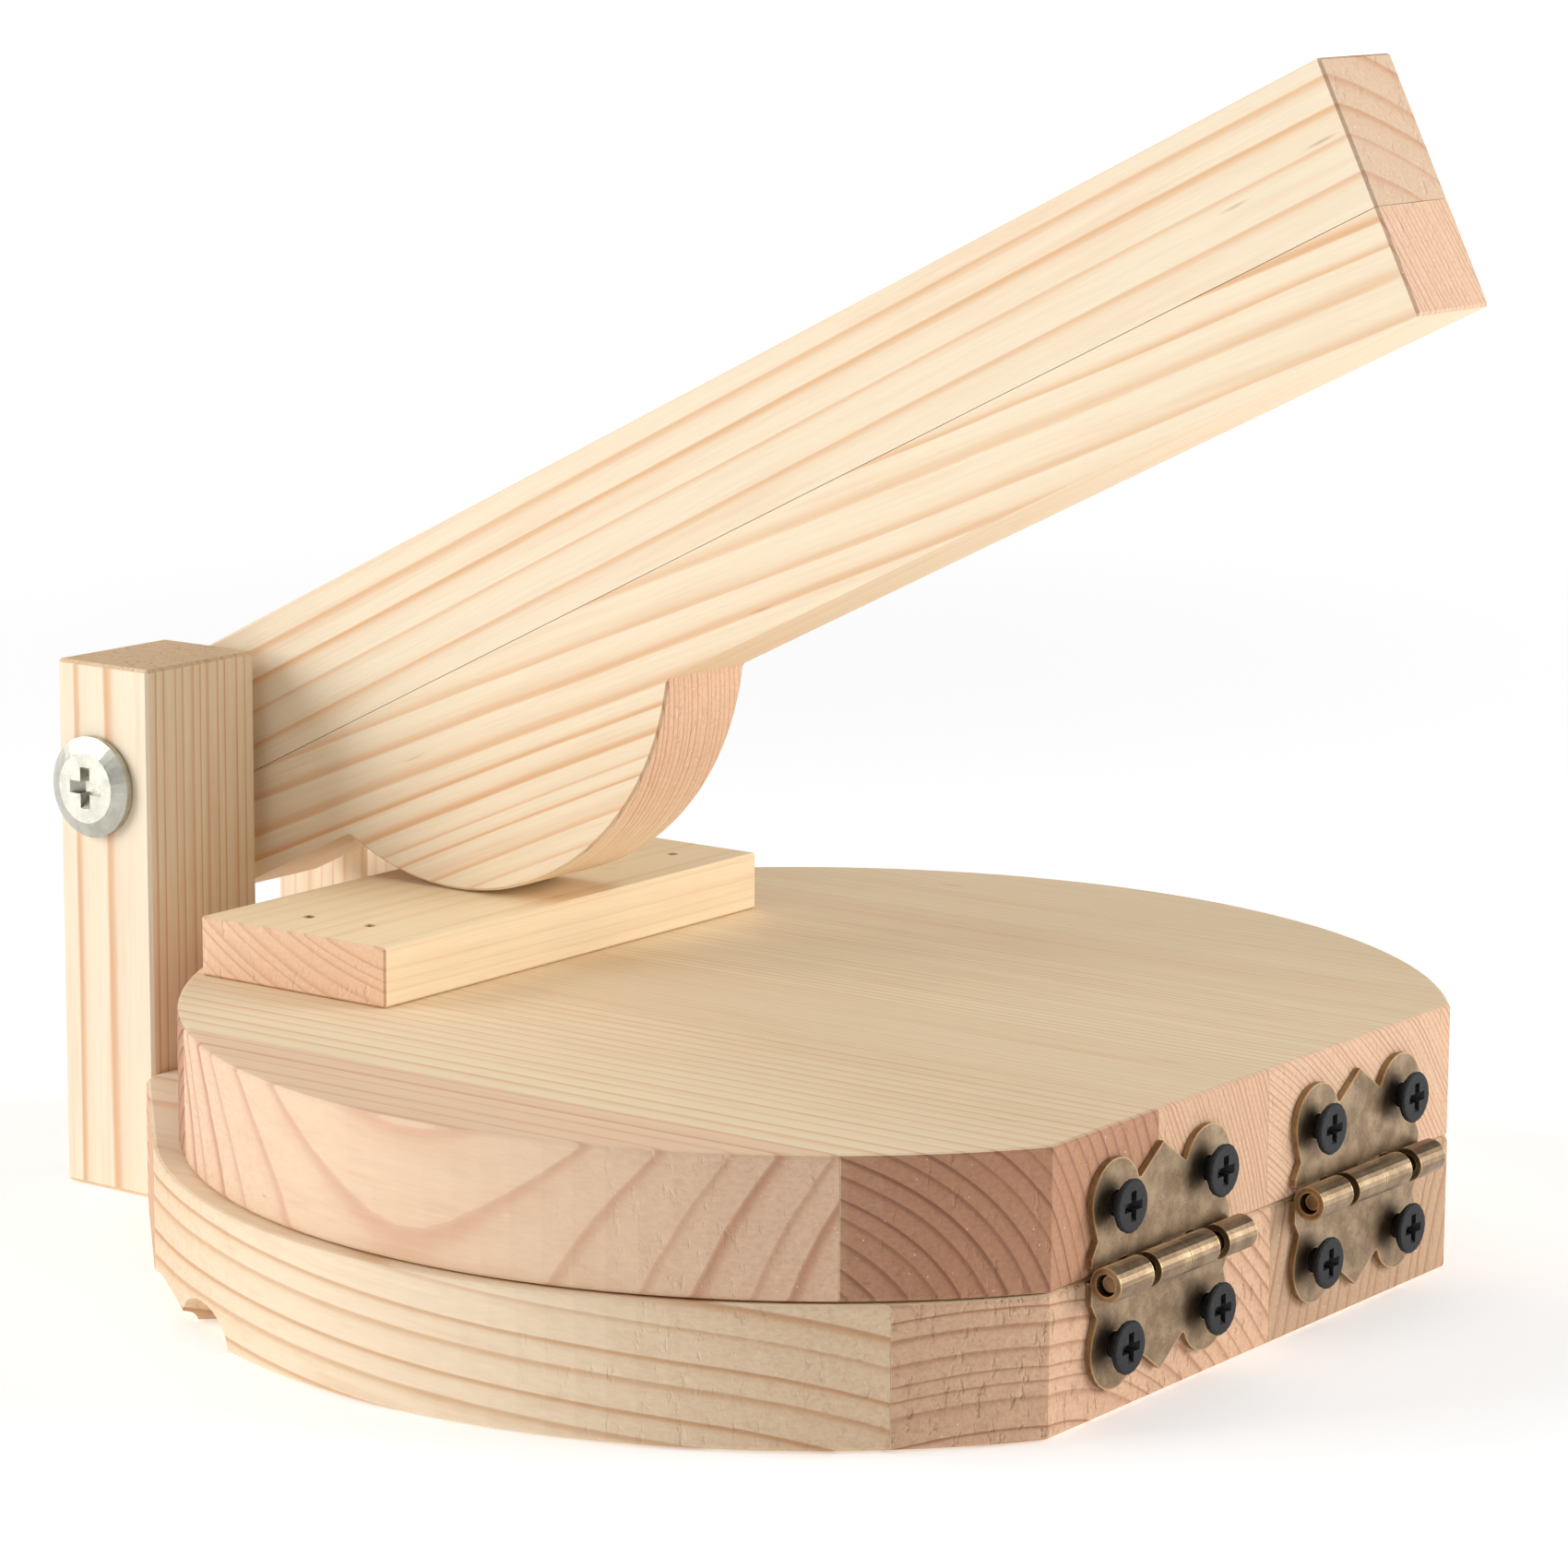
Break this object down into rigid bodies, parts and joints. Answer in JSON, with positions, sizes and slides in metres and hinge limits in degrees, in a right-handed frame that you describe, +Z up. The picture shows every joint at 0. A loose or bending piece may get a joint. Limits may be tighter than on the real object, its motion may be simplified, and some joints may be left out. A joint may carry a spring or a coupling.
{
  "type": "round wooden lever press",
  "caption": "Small round wooden hand press: a hinged lid board is forced onto a base board by a wooden cam lever that pivots on a bolt between two upright posts.",
  "frame": {"origin": "on the table, under the middle of the bounding box at rest", "axes": "+X from the lever's pivot posts to the hinges, +Z up, the near side is -Y"},
  "size_m": [0.2275, 0.1918, 0.1806],
  "materials": {
    "base_pine": "bare sanded pine",
    "lid_pine": "bare sanded pine",
    "pad_pine": "bare sanded pine",
    "lever_pine": "bare sanded pine",
    "post_wood": "bare planed softwood",
    "antique_brass": "antiqued brass plate, worn on the barrels",
    "black_screw": "black oxide",
    "bolt_zinc": "bright zinc plate",
    "zinc_screw": "zinc plate",
    "nail_steel": "dull steel"
  },
  "bodies": {
    "base": {"base_stave_1": "base_pine", "base_stave_2": "base_pine", "base_stave_3": "base_pine", "base_stave_4": "base_pine", "post_near": "post_wood", "post_far": "post_wood", "post_near_screw_1": "zinc_screw", "post_near_screw_2": "zinc_screw", "post_far_screw_1": "zinc_screw", "post_far_screw_2": "zinc_screw", "pivot_bolt": "bolt_zinc", "pivot_nut": "bolt_zinc", "hinge_near_lower": "antique_brass", "hinge_far_lower": "antique_brass", "hinge_near_lower_screw_1": "black_screw", "hinge_near_lower_screw_2": "black_screw", "hinge_far_lower_screw_1": "black_screw", "hinge_far_lower_screw_2": "black_screw", "hinge_near_pin": "antique_brass", "hinge_far_pin": "antique_brass"},
    "lid": {"lid_stave_1": "lid_pine", "lid_stave_2": "lid_pine", "lid_stave_3": "lid_pine", "lid_stave_4": "lid_pine", "lid_stave_5": "lid_pine", "pad": "pad_pine", "pad_nail_1": "nail_steel", "pad_nail_2": "nail_steel", "pad_nail_3": "nail_steel", "pad_nail_4": "nail_steel", "hinge_near_upper": "antique_brass", "hinge_far_upper": "antique_brass", "hinge_near_upper_screw_1": "black_screw", "hinge_near_upper_screw_2": "black_screw", "hinge_far_upper_screw_1": "black_screw", "hinge_far_upper_screw_2": "black_screw"},
    "lever": {"lever_upper": "lever_pine", "lever_cam": "lever_pine"}
  },
  "joints": [
    {"name": "lever_pivot", "type": "hinge", "parent": "base", "child": "lever", "pos_m": [-0.101, 0, 0.064], "axis": [0, -1, 0], "range_deg": [0, 160]},
    {"name": "lid_hinge", "type": "hinge", "parent": "base", "child": "lid", "pos_m": [0.0903, 0, 0.0199], "axis": [0, 1, 0], "range_deg": [0, 100]}
  ],
  "couplings": [
    {"joint": "lid_hinge", "follows": "lever_pivot", "ratio": 0.165}
  ]
}
